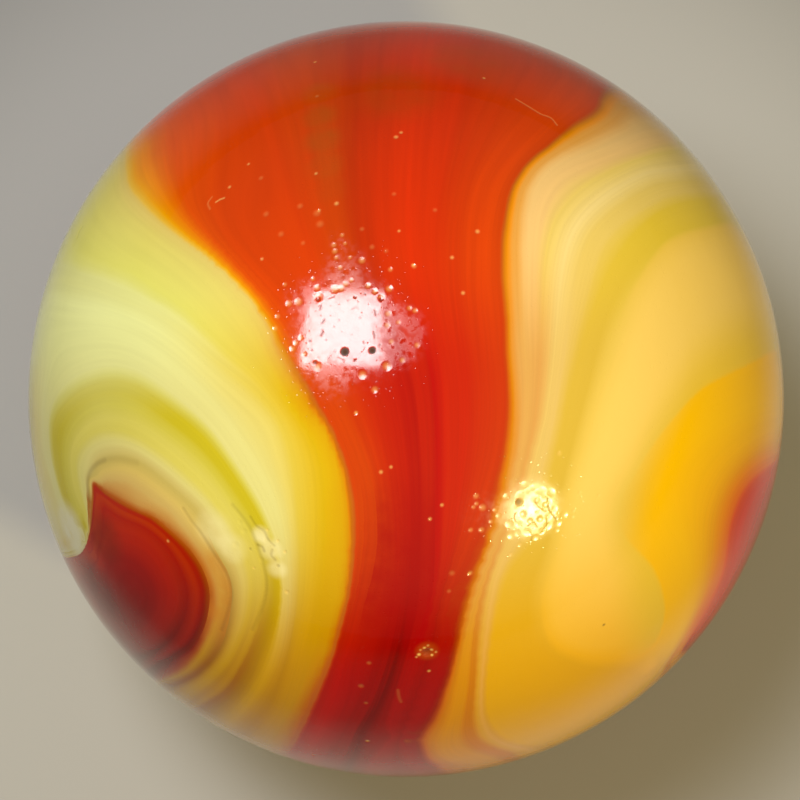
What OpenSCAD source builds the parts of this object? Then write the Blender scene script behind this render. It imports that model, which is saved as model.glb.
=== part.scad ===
// Glass marble: one solid ball of opaque swirled glass.
// The origin is the ball's centre.

/* [Ball] */
// Diameter of the ball
ball_d = 16; // [10:0.5:50]

/* [Hidden] */
// Segments in a full circle of the preview
ball_fn = 96;

// The hot gob was rolled round between grooved rollers, so it has no seam,
// pole or flat, and every section through the centre is the same circle.
module marble() {
    color("orangered")
        sphere(d = ball_d, $fn = ball_fn);
}

marble();
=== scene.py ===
"""The looks of a swirled glass marble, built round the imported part.

Lengths are metres in the part's frame. The swirl and the wear are placed by pixels of the 800 x 800
picture that the camera below takes and, on the side that it can't see, by (clock, polar) angles in degrees:
clock runs anticlockwise from the picture's right, and polar is 0 towards the camera, 84 at the ball's
outline and 180 at the back.
"""

import math
import random
from collections import namedtuple

import bpy
import numpy as np
from mathutils import Matrix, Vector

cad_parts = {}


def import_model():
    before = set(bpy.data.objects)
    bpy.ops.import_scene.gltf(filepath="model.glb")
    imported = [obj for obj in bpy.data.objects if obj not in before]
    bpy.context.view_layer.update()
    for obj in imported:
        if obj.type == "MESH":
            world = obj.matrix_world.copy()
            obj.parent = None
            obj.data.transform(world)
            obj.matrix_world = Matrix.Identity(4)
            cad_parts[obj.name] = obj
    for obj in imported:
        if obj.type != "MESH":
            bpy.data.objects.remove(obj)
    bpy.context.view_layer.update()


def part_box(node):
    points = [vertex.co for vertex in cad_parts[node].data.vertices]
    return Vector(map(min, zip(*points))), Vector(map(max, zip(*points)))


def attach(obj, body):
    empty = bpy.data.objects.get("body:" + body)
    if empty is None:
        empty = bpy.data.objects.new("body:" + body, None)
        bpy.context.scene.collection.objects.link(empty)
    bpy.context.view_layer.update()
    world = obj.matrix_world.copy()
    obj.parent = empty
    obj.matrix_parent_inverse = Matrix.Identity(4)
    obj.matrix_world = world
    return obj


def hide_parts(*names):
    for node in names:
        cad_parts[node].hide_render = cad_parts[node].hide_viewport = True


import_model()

# ---------------------------------------------------------------- the ball and the view

BALL_LOW, BALL_HIGH = (np.array(corner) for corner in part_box("marble"))
BALL_CENTRE = (BALL_LOW + BALL_HIGH) / 2
BALL_R = float(BALL_HIGH[2] - BALL_LOW[2]) / 2

PICTURE_SIDE = 800
BALL_AT = (406.0, 399.0)  # pixel of the ball's centre
BALL_SPAN = 378.0  # pixels from there to the ball's outline
PIXEL = BALL_R / BALL_SPAN  # about one pixel, as far off as the ball's centre
VIEW_TILT = math.radians(75)  # the camera's height above the horizon
VIEW_DISTANCE = 10 * BALL_R  # from the ball's centre
FOCAL = BALL_SPAN * math.sqrt(VIEW_DISTANCE**2 - BALL_R**2) / BALL_R  # pixels

# The picture's right, its up and the way to the camera, as rows
VIEW_AXES = np.array(
    [
        (1, 0, 0),
        (0, math.sin(VIEW_TILT), math.cos(VIEW_TILT)),
        (0, -math.cos(VIEW_TILT), math.sin(VIEW_TILT)),
    ]
)
CAMERA_PLACE = BALL_CENTRE + VIEW_DISTANCE * VIEW_AXES[2]

OUTLINE_SHARE = 0.9995  # a pixel past this share of the way to the outline stands for the one at it
TINY = 1e-9  # what a length is taken to be at least, before it is divided by
BATCH = 8000  # directions that are worked on at a time


def distances(directions, places, rounding=0):
    """How far each direction lies from each place, on a ball of radius 1, with the tip at 0 rounded off."""
    return np.sqrt(np.maximum(2 - 2 * directions @ places.T, 0) + rounding**2)


def in_batches(directions, answer):
    """The answers for all the directions, found for a batch at a time."""
    starts = range(0, len(directions), BATCH)
    return np.concatenate([answer(directions[start : start + BATCH]) for start in starts])


def unit(vectors):
    """The vectors, each made one long."""
    return vectors / np.linalg.norm(vectors, axis=-1, keepdims=True)


def front(*pixels):
    """Directions from the ball's centre to the points of its face that show at these pixels."""
    flat = (np.array(pixels, float) - BALL_AT) * (1, -1) / FOCAL
    reach = np.linalg.norm(flat, axis=1, keepdims=True)
    outline = OUTLINE_SHARE * BALL_SPAN / FOCAL
    flat = flat * np.minimum(1, outline / np.maximum(reach, TINY))
    ray = unit(np.column_stack([flat, -np.ones(len(flat))]))
    along = -ray[:, 2] * VIEW_DISTANCE
    along -= np.sqrt(np.maximum(along**2 - VIEW_DISTANCE**2 + BALL_R**2, 0))
    hit = ray * along[:, None] + (0, 0, VIEW_DISTANCE)
    return unit(hit) @ VIEW_AXES


def back(*angles):
    """Directions from the ball's centre at these (clock, polar) angles."""
    clock, polar = np.radians(np.array(angles, float)).T
    around = np.column_stack([np.sin(polar) * np.cos(clock), np.sin(polar) * np.sin(clock), np.cos(polar)])
    return around @ VIEW_AXES


def curve_between(before, start, end, after, step):
    """Points from start towards end, about step apart, on a centripetal Catmull-Rom curve."""
    four = (before, start, end, after)
    knots = np.cumsum([0] + [max(np.linalg.norm(q - p), TINY) ** 0.5 for p, q in zip(four, four[1:])])
    count = max(1, math.ceil(np.linalg.norm(end - start) / step))
    at = (knots[1] + (knots[2] - knots[1]) * np.arange(count) / count)[:, None]

    def blend(a, b, low, high):
        return ((knots[high] - at) * a + (at - knots[low]) * b) / (knots[high] - knots[low])

    first = blend(before, start, 0, 1)
    second = blend(start, end, 1, 2)
    third = blend(end, after, 2, 3)
    return blend(blend(first, second, 0, 2), blend(second, third, 1, 3), 1, 2)


def smooth_run(points, closed, step):
    """Directions about step radians apart along a smooth curve on the ball through the points."""
    count = len(points)
    run = []
    for i in range(count if closed else count - 1):
        start, end = points[i], points[(i + 1) % count]
        before = points[i - 1] if closed or i > 0 else 2 * start - end
        after = points[(i + 2) % count] if closed or i + 2 < count else 2 * end - start
        run.append(curve_between(before, start, end, after, step))
    if not closed:
        run.append(points[-1:])
    return unit(np.vstack(run))


# ---------------------------------------------------------------- the swirl
#
# The glass was stirred into bands. A band value runs across them: under 1 in the dark red eye, 1 to 3 in
# the rings round it, 3 to 5 in the red and 5 to 7.1 in the cream and gold on the right. Each line below
# follows one value.

LEVEL_STEP = 0.045  # radians between the samples along a line
FINE_STEP = 0.015  # the same for lines close beside others


def level(value, *stretches, closed=False, step=LEVEL_STEP):
    """The samples along one line of the swirl, and the band value that they share."""
    run = smooth_run(np.vstack(stretches), closed, step)
    return run, np.full(len(run), value)


RED_LEFT_EDGE = level(
    3.00,
    front(
        (126, 143), (127, 165), (131, 187), (164, 222), (184, 238), (215, 261), (246, 292), (258, 307),
        (273, 331), (280, 347), (310, 395), (317, 408), (328, 425), (344, 466), (351, 505), (352, 545),
        (348, 592), (342, 615), (331, 656), (314, 697), (297, 735), (286, 752),
    ),
    back(
        (250, 100), (245, 113), (234, 125), (218, 134), (200, 138), (182, 135), (166, 127), (153, 116),
        (144, 104), (139, 95),
    ),
    closed=True,
)
RED_LEFT_FULL = level(
    3.25, back((128, 100)),
    front((150, 118), (162, 135), (182, 208), (276, 317), (353, 463), (361, 548), (330, 681), (293, 755)),
)
FRINGE = level(
    2.85, back((146, 104)),
    front(
        (112, 160), (124, 207), (212, 280), (246, 322), (284, 395), (320, 462), (320, 600), (303, 680),
        (270, 743),
    ),
    back((248, 97)),
)
LEMON_EDGE = level(
    2.60, front((161, 305), (222, 355), (262, 390), (292, 440), (303, 575), (280, 692), (250, 736)),
    back((243, 98), (237, 108), (226, 118), (211, 124), (195, 124), (180, 117), (169, 107), (162, 97)),
    closed=True,
)
PALE_BAND = level(
    2.30,
    front((42, 330), (130, 334), (190, 374), (242, 432), (277, 500), (289, 580), (280, 660), (236, 730)),
)
OLIVE_OUTSIDE = level(
    2.00,
    front(
        (85, 541), (62, 497), (51, 420), (117, 374), (200, 425), (240, 477), (266, 523), (279, 562),
        (280, 615), (262, 675), (228, 718),
    ),
    back((236, 100)),
)
OLIVE_INSIDE = level(
    1.75,
    front(
        (85, 533), (68, 480), (68, 438), (93, 409), (132, 408), (187, 446), (222, 485), (267, 572),
        (236, 675), (200, 707),
    ),
    back((234, 98)),
)
PALE_RING = level(
    1.50,
    front(
        (88, 530), (87, 515), (78, 462), (98, 438), (138, 443), (212, 507), (246, 577), (234, 647),
        (180, 698),
    ),
)
TAN_LINE = level(
    1.30,
    front(
        (89, 505), (91, 476), (107, 461), (138, 463), (197, 513), (215, 549), (231, 582), (225, 636),
        (207, 666), (166, 688),
    ),
    back((230, 97)),
)
PEACH_RING = level(1.12, front((96, 481), (124, 480), (178, 519), (216, 588), (197, 655), (160, 680)))
EYE_EDGE = level(
    1.00,
    front(
        (94, 484), (106, 494), (138, 512), (153, 519), (192, 556), (206, 585), (205, 618), (192, 646),
        (179, 656), (166, 664), (152, 674),
    ),
    back((229, 96), (228, 103), (223, 110), (215, 112), (208, 106), (205, 97)),
    front((60, 558), (70, 558), (83, 551), (90, 531), (93, 498)), closed=True, step=FINE_STEP,
)
EYE_DARK_RING = level(
    0.80, front((100, 500), (118, 512), (152, 528), (178, 556), (193, 592), (184, 633), (146, 662)),
    back((226, 97), (219, 104), (211, 99)), front((70, 566), (90, 556), (98, 530)), closed=True,
    step=FINE_STEP,
)
EYE_INSIDE = level(
    0.50, front((112, 545), (148, 556), (166, 592), (138, 640), (122, 634), (104, 610)), closed=True
)
EYE_HEART = level(0.20, front((130, 575), (142, 585), (146, 600), (138, 612), (126, 602)), closed=True)
LOBE_END = level(1.90, front((83, 541), (78, 548), (70, 552), (60, 552)), step=FINE_STEP)
LOBE_SIDE = level(2.35, front((50, 480), (57, 505), (64, 525), (56, 540)), step=FINE_STEP)
LOBE_RIM = level(2.45, front((37, 430), (36, 400), (38, 370)))
RED_LEFT_STREAK = level(
    3.60, back((126, 118), (120, 108), (117, 98)),
    front(
        (245, 55), (275, 130), (297, 230), (340, 340), (365, 385), (390, 480), (395, 575), (378, 660),
        (345, 735), (330, 765),
    ),
    back((258, 102), (257, 114)),
)
RED_DARK_STREAK = level(
    4.00, back((96, 112), (95, 101)),
    front((372, 24), (370, 240), (382, 300), (411, 400), (414, 600), (357, 771)),
    back((264, 104), (266, 118)),
)
RED_MIDDLE_STREAK = level(
    4.40, back((76, 116), (79, 102)),
    front((478, 32), (437, 240), (454, 400), (446, 550), (396, 740), (388, 774)),
    back((270, 100), (274, 112)),
)
RED_RIGHT_DARK = level(4.95, front((496, 480), (453, 620), (438, 685), (415, 730), (417, 762), (430, 772)))
RED_RIGHT_STREAK = level(
    4.80,
    front(
        (580, 85), (560, 108), (492, 190), (482, 280), (490, 430), (443, 600), (435, 645), (400, 740),
        (412, 776),
    ),
)
RED_RIGHT_EDGE = level(
    5.00, back((8, 136), (24, 138), (38, 132), (48, 120), (54, 105)),
    front(
        (603, 95), (598, 107), (590, 115), (569, 128), (549, 146), (528, 164), (513, 187), (509, 200),
        (504, 232), (503, 253), (503, 272), (507, 318), (508, 343), (511, 395), (510, 430), (505, 470),
        (499, 497), (493, 517), (487, 540), (474, 575), (461, 613), (457, 632), (448, 672), (432, 711),
        (424, 726), (419, 738), (418, 749), (422, 759), (431, 768), (441, 775),
    ),
    back((279, 99), (286, 108), (297, 111), (307, 107), (314, 99), (317, 94)),
)
PEACH_STRIPE = level(
    5.20,
    front(
        (628, 108), (611, 123), (534, 174), (520, 210), (519, 300), (523, 440), (474, 606), (456, 702),
        (446, 750), (476, 763),
    ),
    back((287, 98), (296, 103)),
)
KHAKI_LINE = level(
    5.50,
    front((684, 152), (567, 203), (548, 250), (533, 430), (480, 602), (472, 680), (470, 738), (505, 755)),
)
PALE_STRIPE = level(
    5.80,
    front(
        (702, 172), (675, 173), (645, 178), (583, 224), (565, 275), (546, 425), (521, 513), (491, 590),
        (483, 730), (520, 750),
    ),
)
GOLD_STRIPE = level(
    6.20,
    front(
        (713, 192), (662, 198), (613, 230), (598, 255), (568, 375), (530, 533), (503, 580), (488, 712),
        (512, 741), (538, 744),
    ),
)
KHAKI_BEND = level(
    6.50, back((12, 117), (21, 121), (30, 116), (34, 103)),
    front(
        (722, 206), (656, 230), (608, 303), (577, 410), (537, 558), (526, 580), (522, 635), (533, 662),
        (590, 697), (646, 682), (684, 567), (656, 500), (662, 472), (703, 422), (780, 388),
    ),
    back((0, 100), (5, 110)), closed=True,
)
GOLD_POOL = level(6.50, front((505, 620), (507, 700), (530, 722), (565, 725), (600, 718)), back((-60, 93)))
FINGER_EDGE = level(
    6.85,
    front(
        (729, 223), (703, 228), (677, 236), (662, 246), (641, 274), (631, 292), (623, 313), (615, 333),
        (600, 380), (592, 405), (575, 465), (566, 495), (554, 550), (541, 600), (551, 643), (585, 662),
        (610, 664), (638, 661), (656, 648), (665, 627), (668, 602), (655, 563), (643, 549), (623, 521),
        (625, 498), (633, 484), (656, 446), (672, 426), (701, 395), (720, 384), (743, 372), (762, 362),
        (778, 353),
    ),
)
FINGER_HEART = level(
    7.10, back((13, 104), (20, 107), (25, 101)),
    front((768, 300), (735, 300), (700, 315), (642, 383), (604, 465), (586, 545), (605, 622)),
)
BLOB = level(
    6.00, front((782, 430), (760, 440), (738, 456), (718, 482), (706, 515), (698, 598), (661, 668))
)
BLOB_SIDE = level(
    5.30,
    front((779, 452), (762, 462), (745, 476), (732, 496), (724, 525), (714, 578), (696, 618), (676, 655)),
)
PATCH_EDGE = level(
    5.00, back((8, 136), (-4, 129), (-10, 117), (-11, 103)),
    front(
        (777, 462), (766, 470), (751, 483), (739, 503), (731, 526), (728, 550), (724, 572), (717, 590),
        (709, 607), (690, 638), (684, 648),
    ),
)
PATCH_INSIDE = level(4.60, front((772, 480), (756, 505), (746, 535), (740, 562), (733, 580)))
PATCH_HEART = level(4.30, back((-20, 100), (-26, 112)))
RED_BEHIND_LEFT = level(3.70, back((140, 118), (150, 131), (170, 143), (200, 150), (228, 143), (245, 128)))
FLAME_BEHIND = level(3.04, back((126, 128), (138, 144), (162, 157), (200, 162), (234, 156), (252, 140)))
RED_BEHIND_FAR = level(
    3.90, back((112, 112), (118, 134), (130, 156), (165, 171), (235, 168), (260, 150), (264, 128))
)
RIBBON_HEART = level(
    6.90,
    back(
        (100, 128), (88, 140), (70, 152), (40, 163), (-10, 167), (-45, 160), (-66, 150), (-78, 140),
        (-84, 131),
    ),
)
RIBBON_EDGE = level(
    5.00,
    back(
        (106, 120), (94, 126), (74, 138), (50, 149), (20, 155), (-14, 156), (-40, 150), (-58, 141),
        (-70, 131), (-77, 123), (-85, 120), (-92, 125), (-94, 135), (-93, 146), (-90, 158), (-80, 170),
        (40, 176), (72, 165), (94, 153), (106, 142), (113, 131), (112, 122),
    ),
    closed=True,
)
RED_BEHIND_RIGHT = level(
    4.00, back((62, 122), (62, 134), (40, 143), (14, 149), (-16, 147), (-34, 138), (-44, 126), (-40, 112))
)

SWIRL = (
    RED_LEFT_EDGE, RED_LEFT_FULL, FRINGE, LEMON_EDGE, PALE_BAND, OLIVE_OUTSIDE, OLIVE_INSIDE, PALE_RING,
    TAN_LINE, PEACH_RING, EYE_EDGE, EYE_DARK_RING, EYE_INSIDE, EYE_HEART, LOBE_END, LOBE_SIDE, LOBE_RIM,
    RED_LEFT_STREAK, RED_DARK_STREAK, RED_MIDDLE_STREAK, RED_RIGHT_DARK, RED_RIGHT_STREAK, RED_RIGHT_EDGE,
    PEACH_STRIPE, KHAKI_LINE, PALE_STRIPE, GOLD_STRIPE, KHAKI_BEND, GOLD_POOL, FINGER_EDGE, FINGER_HEART,
    BLOB, BLOB_SIDE, PATCH_EDGE, PATCH_INSIDE, PATCH_HEART, RED_BEHIND_LEFT, FLAME_BEHIND, RED_BEHIND_FAR,
    RIBBON_HEART, RIBBON_EDGE, RED_BEHIND_RIGHT,
)

ROUNDING = 0.012  # ball radii over which the surface through the lines is rounded
SLACK = 1e-4  # how far it may miss a line, so that close lines don't ripple it


def band_weights(places, values):
    """Weights of a smooth surface, one cone at each place, that has these values at the places."""
    count = len(places)
    system = np.ones((count + 1, count + 1))
    system[:count, :count] = -distances(places, places, ROUNDING) - SLACK * np.eye(count)
    system[count, count] = 0
    return np.linalg.solve(system, np.append(values, 0))


SWIRL_PLACES = np.vstack([run for run, _ in SWIRL])
SWIRL_WEIGHTS = band_weights(SWIRL_PLACES, np.concatenate([values for _, values in SWIRL]))


def band_values(directions):
    """The band value at each direction."""
    cones, ground = SWIRL_WEIGHTS[:-1], SWIRL_WEIGHTS[-1]
    return in_batches(directions, lambda part: ground - distances(part, SWIRL_PLACES, ROUNDING) @ cones)


# ---------------------------------------------------------------- wear
#
# Each mark is a dent in the ball. Its skeleton is a row of directions, its half width and depth are in
# pixels of the picture, and its tint runs from -1, dark, to 1, pale. The dark is dirt, and painted shade
# along the creases; the pale is chalk on chips and scratches, and painted glints on the glinting pits, the
# pale dots, the chips by the creases and the crater's rim. A tint past -1 spreads the dark.

Mark = namedtuple("Mark", "skeleton half_width depth tint")

# A pit's depth over its radius
FAINT = 0.02
SHALLOW = 0.07
PLAIN = 0.15
STEEP = 0.3

SLOPE_AT = 0.577  # where a dent is steepest, over its half width
SLOPE_TOP = 1.54  # its slope there, over its depth by half width
GROOVE_STEP = 0.003  # radians between the points along a groove's skeleton
GLINT_SHARE = 0.64  # a glint's radius over its pit's
# A glint's pit is tinted pale: a painted highlight that softens its glint into a paler dot
GLINT_PAINTED_HIGHLIGHT = 0.3

# The middle of each lamp's reflection
WINDOW_GLARE = (345, 329)
LAMP_GLARE = (531, 509)


def pits(steepness, tint, *places):
    """Round pits at (x, y, radius)."""
    return [Mark(front((x, y)), radius, steepness * radius, tint) for x, y, radius in places]


def glints(glare, tilt, *dots):
    """Pits whose far walls catch this glare's lamp, wholly at a tilt of 1, as dots at (x, y, radius)."""
    marks = []
    for x, y, radius in dots:
        across, down = glare[0] - x, glare[1] - y
        apart = math.hypot(across, down)
        width = radius / GLINT_SHARE
        lead = SLOPE_AT * width / apart
        depth = tilt * apart / BALL_SPAN * width / SLOPE_TOP
        marks.append(Mark(front((x + lead * across, y + lead * down)), width, depth, GLINT_PAINTED_HIGHLIGHT))
    return marks


def groove(half_width, depth, tint, *pixels):
    """A groove along a smooth line through these pixels."""
    return [Mark(smooth_run(front(*pixels), False, GROOVE_STEP), half_width, depth, tint)]


WINDOW_GLARE_MARKS = (
    pits(PLAIN, -2.5, (344.8, 352, 5.2), (372.5, 350.5, 4.2))
    + pits(
        PLAIN, -0.8,
        (318, 299, 3.2), (381, 299.5, 2.6), (315, 363, 2.8), (355, 297, 2.0), (355, 360.5, 2.0),
    )
    + pits(
        FAINT, -0.7,
        (339, 320, 1.8), (326, 340, 1.8), (312, 350, 2.0), (335, 351, 1.6), (360, 318, 1.6),
        (310, 341, 2.2), (365, 293.5, 1.8), (348, 300, 1.6), (380, 345, 1.8), (329, 358, 1.6),
        (364, 343, 1.6), (322, 330, 1.5),
    )
    + groove(1.9, 0.05, -0.8, (322, 323), (324, 320))
    + groove(1.9, 0.05, -0.7, (321, 335), (323, 332))
    + groove(1.7, 0.05, -0.7, (320, 309), (321, 305))
    + groove(1.5, 0.05, -0.4, (352, 309), (356, 307), (359, 309))
    + groove(1.6, 0.05, -0.6, (375, 310), (376, 315))
    + groove(1.6, 0.05, -0.6, (374, 332), (375, 338))
    + groove(1.5, 0.05, -0.4, (329, 298), (334, 296))
    + groove(1.5, 0.05, -0.4, (338, 358), (344, 361))
    + glints(
        WINDOW_GLARE, 0.6,
        (286.5, 302.5, 2.8), (296, 300.5, 3.2), (316.5, 294.5, 3.6), (334, 286.5, 3.2), (341, 286, 2.6),
        (345.5, 282, 2.2), (316, 286, 2.4), (362.5, 258, 2.8), (391, 287, 2.8), (383, 296, 2.6),
        (369, 284, 2.2), (351.5, 278.5, 1.8), (376, 290, 2.2), (417, 310, 2.2), (411, 307.5, 2.0),
        (415.5, 265, 2.0), (391.5, 268, 2.0), (389, 325, 2.2), (389, 368, 3.4), (363.5, 377.5, 3.2),
        (316, 369, 3.2), (290.5, 349.5, 2.4), (294, 343.5, 2.2), (299, 338, 2.2), (404, 361, 2.2),
        (419, 345.5, 2.2), (275.5, 316, 2.2), (273, 328.5, 2.2), (283.5, 283.5, 1.8), (312, 277.5, 1.8),
        (334.5, 249, 2.4), (333.5, 243, 2.2), (342, 233.5, 1.8), (345, 242, 1.6), (350, 256, 1.6),
        (340, 266, 2.0), (376, 392, 2.8), (390, 313, 2.4), (393, 342, 2.0), (400, 322, 1.8),
        (303, 355, 2.0), (336, 256, 1.8),
    )
)
LAMP_GLARE_MARKS = (
    pits(STEEP, -0.6, (519, 502, 4.5))
    + pits(SHALLOW, 0, (523, 514, 4.5), (540, 519, 4.5), (530, 521, 4.0), (537, 500, 4.0), (545, 505, 4.0))
    + groove(1.4, 0.15, -0.45, (536, 502), (540, 507), (546, 511))
    + groove(1.4, 0.15, -0.5, (548, 498), (548, 506), (552, 513), (557, 519))
    + groove(1.3, 0.15, -0.4, (547, 517), (547, 525), (541, 533))
    + groove(1.3, 0.15, -0.45, (528, 526), (533, 523), (537, 527))
    + groove(1.2, 0.1, -0.3, (515, 513), (514, 519), (518, 525))
    + groove(1.2, 0.1, -0.3, (528, 531), (532, 536), (531, 541))
    + glints(
        LAMP_GLARE, 0.7,
        (518, 493.5, 3.6), (523.5, 482.5, 2.8), (532.5, 486, 2.2), (543.5, 488.5, 3.2), (553.5, 491, 3.2),
        (534.5, 495.5, 3.2), (541.5, 502, 3.4), (504.5, 495.5, 2.4), (551, 501, 2.4), (556.5, 509, 2.6),
        (567, 515.5, 3.2), (550.5, 518, 3.0), (549.5, 528, 3.2), (560, 524.5, 3.0), (558.5, 531, 2.4),
        (507, 525.5, 3.2), (509.5, 537.5, 3.2), (519, 546.5, 2.0), (510, 556, 2.0), (536, 539.5, 2.4),
        (533.5, 528, 3.2), (527, 534.5, 3.4), (517.5, 525.5, 2.6), (516, 535, 2.6), (560, 451.5, 2.4),
        (474, 495.5, 2.4), (475, 503.5, 1.8), (472, 507, 1.8), (480, 507.5, 3.0), (493.5, 510, 2.0),
        (497, 516, 2.0), (469, 530.5, 2.0), (479.5, 530.5, 2.4), (489.5, 522, 1.8), (469, 574, 2.0),
        (575, 511, 1.8), (574, 517, 1.8), (581, 492, 1.6), (600, 495, 1.6), (546, 494, 2.4),
        (546, 509, 2.4), (543, 533, 2.6), (522, 519, 2.4), (513, 506, 2.2), (539, 513, 2.0),
        (538, 490, 2.0), (527, 489, 2.2), (554, 513, 2.4),
    )
)
# Pale dots: pits tinted with chalk that paints the glints of pits too far from the lamps to catch them; the
# last pit is dark with dirt
DOTS_WITH_PAINTED_GLINTS = (
    pits(
        PLAIN, 0.5,
        (336.5, 203.5, 3.0), (316, 173.5, 2.2), (396, 137, 3.0), (401, 132.5, 2.4), (229.5, 187, 2.4),
        (248.5, 164, 2.0), (484, 78, 2.2), (477.5, 231.5, 3.0), (452, 257.5, 2.6), (463, 293, 2.6),
        (315, 62, 2.4), (356, 413, 2.6), (381, 472, 2.6), (391, 467, 2.2), (430, 519, 2.4), (442, 505, 2.4),
        (367.5, 741, 3.0), (168, 541, 2.4), (413, 265, 2.2), (262, 259, 2.2), (313, 755, 2.0),
        (469, 574, 2.4), (399, 231, 2.0), (319, 210.5, 2.2),
    )
    + pits(
        SHALLOW, 0.13,
        (317, 213, 5.0), (300, 206, 4.0), (320, 224, 5.0), (266, 214, 4.0), (435, 210, 3.0),
        (394, 194, 3.0), (317, 96, 2.6), (449, 591, 3.0), (369, 663, 3.4), (361, 686, 4.0), (366, 703, 3.0),
        (281, 234, 4.0), (261, 178, 3.4), (452, 573, 4.0), (303, 243, 3.0), (372, 247, 3.4),
        (386, 251, 3.0), (362, 229, 3.0),
    )
    + pits(PLAIN, -0.7, (604, 625, 2.4))
)
# Grooves along the two creases, their dark tint painted shade along the step
EYE_CREASE_AND_SHADE = groove(
    3.2, 0.25, -0.15,
    (183, 509), (191, 521), (201, 534), (213, 553), (226, 574), (231, 592), (228, 609), (221, 630),
)
RING_CREASE_AND_SHADE = groove(
    3.2, 0.2, -0.15,
    (232, 505), (242, 517), (250, 529), (257, 547), (264, 570), (266, 588), (261, 609), (252, 630),
)
EYE_OUTLINE = (
    groove(
        5.0, 0, -0.1,
        (91, 524), (90, 510), (89, 495), (87.5, 483), (90, 472), (97, 464), (107, 459.5), (120, 459),
        (137, 463),
    )
    + groove(4.0, 0, -0.16, (89, 500), (87.5, 485), (89.5, 473), (96, 464.5), (105, 460))
)
# Chips by the creases: dark grooves and pits of dirt, and pale pits whose chalk tint also paints their
# glints
CHIPS_AND_GLINTS_BY_CREASES = (
    groove(2.2, 0.25, -0.2, (250, 517), (256, 526), (263, 531), (268, 540), (274, 546))
    + groove(2.4, 0.15, -0.3, (258, 545), (262, 547), (264, 551))
    + groove(2.2, 0.15, -0.25, (272, 550), (271, 555), (275, 560))
    + pits(PLAIN, -0.3, (250, 549, 2.2), (278, 566, 2.6))
    + pits(
        PLAIN, 0.35,
        (267.5, 530, 2.2), (278, 541, 2.4), (285, 552, 2.6), (287, 592, 3.2), (254, 568, 2.0),
    )
    + pits(SHALLOW, 0, (266, 540, 4.0), (244, 531, 4.0), (236, 545, 4.4), (262, 560, 4.0), (240, 522, 3.6))
)
# A crater with its hollow darkened, and pale pits round its rim whose chalk tint paints the glints of its
# raised ring
CRATER_WITH_PAINTED_GLINTS = (
    pits(STEEP, -0.35, (427, 652.5, 6.5))
    + pits(PLAIN, 0.9, (419, 654.5, 2.6), (424.5, 648, 2.2), (431.3, 650, 2.4), (432, 655, 2.0))
    + pits(
        PLAIN, 0.5,
        (428, 645.5, 1.8), (420.5, 650, 1.8), (416.5, 657, 1.8), (436, 652, 1.8), (429, 671, 2.4),
    )
)
SCRATCHES = (
    groove(1.4, 0.2, 0.25, (516, 99), (531, 108), (541, 114), (551, 118), (557, 125))
    + groove(1.5, 0.3, 0.55, (224, 198), (220, 199.5), (216, 202))
    + groove(1.5, 0.2, 0.18, (212, 197), (208, 203), (210, 209))
    + groove(2.6, 0.05, 0.08, (398, 690), (399, 697), (401, 702))
    + groove(1.5, 0.4, -0.4, (77, 238), (79, 232), (82, 227))
    + groove(1.2, 0.3, -0.3, (547, 743), (560, 739), (573, 732))
)

# The pits behind: how many there are at least, and what each is drawn from
BACK_PIT_COUNT = 60
BACK_PIT_SEED = 16
BACK_PIT_POLAR = (100, 170)  # degrees, for a group's middle
BACK_PIT_GROUP = (1, 5)
BACK_PIT_SPREAD = (5, 4)  # degrees of clock and of polar angle within a group
BACK_PIT_RADIUS = (2.2, 5.5)
BACK_PIT_TINT = (-0.4, 0.5)


def back_pits():
    """Pits strewn over the side that the picture doesn't show, in loose groups."""
    chance = random.Random(BACK_PIT_SEED)
    strewn = []
    while len(strewn) < BACK_PIT_COUNT:
        middle = (chance.uniform(0, 360), chance.uniform(*BACK_PIT_POLAR))
        for _ in range(chance.randint(*BACK_PIT_GROUP)):
            place = [angle + chance.gauss(0, spread) for angle, spread in zip(middle, BACK_PIT_SPREAD)]
            radius = chance.uniform(*BACK_PIT_RADIUS)
            depth = chance.uniform(SHALLOW, STEEP) * radius
            strewn.append(Mark(back(place), radius, depth, chance.uniform(*BACK_PIT_TINT)))
    return strewn


MARKS = (
    WINDOW_GLARE_MARKS
    + LAMP_GLARE_MARKS
    + DOTS_WITH_PAINTED_GLINTS
    + EYE_CREASE_AND_SHADE
    + RING_CREASE_AND_SHADE
    + EYE_OUTLINE
    + CHIPS_AND_GLINTS_BY_CREASES
    + CRATER_WITH_PAINTED_GLINTS
    + SCRATCHES
    + back_pits()
)


def dents(directions):
    """The depth in pixels at each direction, its slope towards the deeper side, and its tint."""
    depth = np.zeros(len(directions))
    slope = np.zeros((len(directions), 3))
    tint = np.zeros(len(directions))
    for mark in MARKS:
        reach = mark.half_width / BALL_SPAN
        middle = unit(mark.skeleton.sum(axis=0))
        spread = np.linalg.norm(mark.skeleton - middle, axis=1).max()
        near = np.flatnonzero(np.linalg.norm(directions - middle, axis=1) < spread + reach)
        if not len(near):
            continue
        offset = mark.skeleton[None, :, :] - directions[near][:, None, :]
        closest = np.linalg.norm(offset, axis=2).argmin(axis=1)
        offset = offset[np.arange(len(near)), closest]
        away = np.linalg.norm(offset, axis=1)
        share = np.minimum(away / reach, 1)
        hollow = (1 - share**2) ** 2
        depth[near] += mark.depth * hollow
        fall = 4 * mark.depth / mark.half_width * share * (1 - share**2)
        slope[near] += (fall / np.maximum(away, TINY))[:, None] * offset
        tint[near] += mark.tint * hollow
    return depth, slope, tint


# ---------------------------------------------------------------- colours
#
# Each ramp gives a colour against the band value. The ball has three, for the picture's top, its middle and
# its foot, lighter at the top and darker at the foot, and a fourth for the bright gold at the right.

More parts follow.
